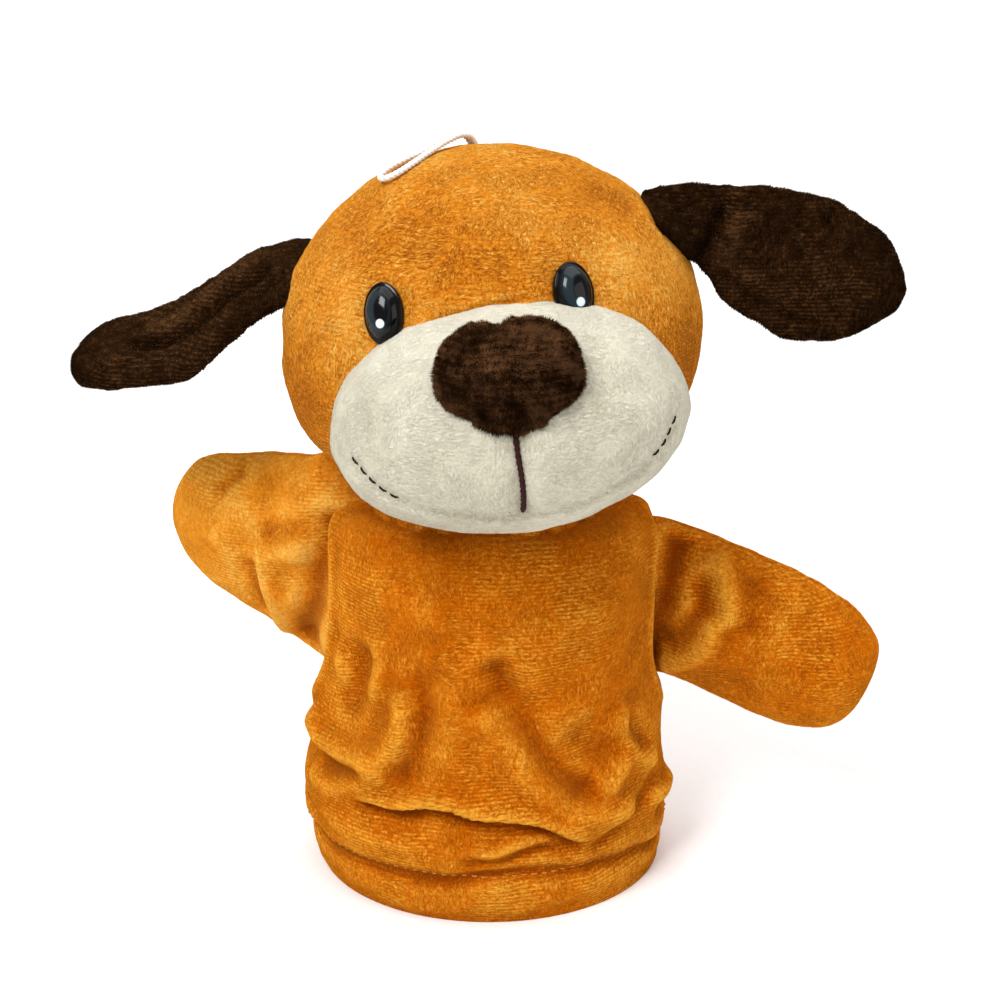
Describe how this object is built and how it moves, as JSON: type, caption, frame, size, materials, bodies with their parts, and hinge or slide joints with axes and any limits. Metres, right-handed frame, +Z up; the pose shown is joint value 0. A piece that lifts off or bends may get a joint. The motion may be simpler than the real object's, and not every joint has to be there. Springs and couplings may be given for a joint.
{
  "type": "glove puppet",
  "caption": "Plush dog glove puppet with a stuffed head, plastic eyes, floppy ears and two sleeve arms, standing on its hem.",
  "frame": {"origin": "centre of the wrist opening, in the plane that the hem stands on", "axes": "+Z up towards the head, the puppet faces -Y, its left hand is on +X"},
  "size_m": [0.2592, 0.1343, 0.2533],
  "materials": {
    "orange_plush": "short pile plush",
    "cream_plush": "short pile plush",
    "brown_plush": "short pile plush",
    "nose_plush": "long pile plush",
    "stuffing": "polyester fibre filling",
    "dark_thread": "twisted embroidery thread",
    "orange_thread": "sewing thread",
    "hem_thread": "overlock sewing thread",
    "eye_plastic": "polished moulded plastic",
    "washer_plastic": "moulded plastic",
    "tube_cloth": "thin woven cloth",
    "loop_cord": "twisted cotton cord"
  },
  "bodies": {
    "glove": {"glove_front_panel": "orange_plush", "glove_back_panel": "orange_plush", "hem_stitching": "hem_thread", "side_seam_thread_left": "orange_thread", "side_seam_thread_right": "orange_thread"},
    "shoulder_left": {"armhole_binding_left": "orange_plush"},
    "arm_left": {"arm_left_front_panel": "orange_plush", "arm_left_back_panel": "orange_plush", "arm_left_seam_thread": "orange_thread"},
    "shoulder_right": {"armhole_binding_right": "orange_plush"},
    "arm_right": {"arm_right_front_panel": "orange_plush", "arm_right_back_panel": "orange_plush", "arm_right_seam_thread": "orange_thread"},
    "neck_lower": {"neck_collar": "orange_plush"},
    "neck_upper": {"neck_band": "orange_plush"},
    "head": {"head_front_panel": "orange_plush", "head_back_panel": "orange_plush", "head_seam_thread": "orange_thread", "head_stuffing": "stuffing", "head_finger_tube": "tube_cloth", "muzzle_cover": "cream_plush", "muzzle_stuffing": "stuffing", "nose_cover": "nose_plush", "nose_stuffing": "stuffing", "philtrum_thread": "dark_thread", "mouth_thread": "dark_thread", "eye_left": "eye_plastic", "eye_right": "eye_plastic", "eye_washer_left": "washer_plastic", "eye_washer_right": "washer_plastic", "hang_loop": "loop_cord"},
    "ear_left": {"ear_left_batting": "stuffing", "ear_left_front_panel": "brown_plush", "ear_left_back_panel": "brown_plush"},
    "ear_right": {"ear_right_batting": "stuffing", "ear_right_front_panel": "brown_plush", "ear_right_back_panel": "brown_plush"}
  },
  "joints": [
    {"name": "neck_nod", "type": "hinge", "parent": "glove", "child": "neck_lower", "pos_m": [0, 0, 0.135], "axis": [1, 0, 0], "range_deg": [-15, 18], "stiffness_Nm_per_rad": 0.15},
    {"name": "neck_tilt", "type": "hinge", "parent": "neck_lower", "child": "neck_upper", "pos_m": [0, 0, 0.135], "axis": [0.02, 0.9994, 0.03], "range_deg": [-6, 16], "stiffness_Nm_per_rad": 0.15},
    {"name": "head_turn", "type": "hinge", "parent": "neck_upper", "child": "head", "pos_m": [0, -0.002, 0.14], "axis": [0.02, -0.03, 0.9994], "range_deg": [-24, 16], "stiffness_Nm_per_rad": 0.1},
    {"name": "arm_left_swing", "type": "hinge", "parent": "glove", "child": "shoulder_left", "pos_m": [0.052, 0, 0.1], "axis": [0, 0, 1], "range_deg": [-24, 18], "stiffness_Nm_per_rad": 0.03},
    {"name": "arm_left_raise", "type": "hinge", "parent": "shoulder_left", "child": "arm_left", "pos_m": [0.052, 0, 0.1], "axis": [-0.0599, -0.998, 0.02], "range_deg": [-8, 44], "stiffness_Nm_per_rad": 0.03},
    {"name": "arm_right_swing", "type": "hinge", "parent": "glove", "child": "shoulder_right", "pos_m": [-0.048, 0.002, 0.098], "axis": [0, 0, 1], "range_deg": [-6, 50], "stiffness_Nm_per_rad": 0.03},
    {"name": "arm_right_raise", "type": "hinge", "parent": "shoulder_right", "child": "arm_right", "pos_m": [-0.048, 0.002, 0.098], "axis": [0.0499, 0.9986, 0.02], "range_deg": [-36, 16], "stiffness_Nm_per_rad": 0.03},
    {"name": "ear_left_flap", "type": "hinge", "parent": "head", "child": "ear_left", "pos_m": [0.0635, -0.004, 0.224], "axis": [0.2996, 0.0999, 0.9488], "range_deg": [-35, 28], "stiffness_Nm_per_rad": 0.02},
    {"name": "ear_right_flap", "type": "hinge", "parent": "head", "child": "ear_right", "pos_m": [-0.063, 0.002, 0.211], "axis": [0.1003, -0.9628, -0.2507], "range_deg": [-30, 12], "stiffness_Nm_per_rad": 0.02}
  ]
}
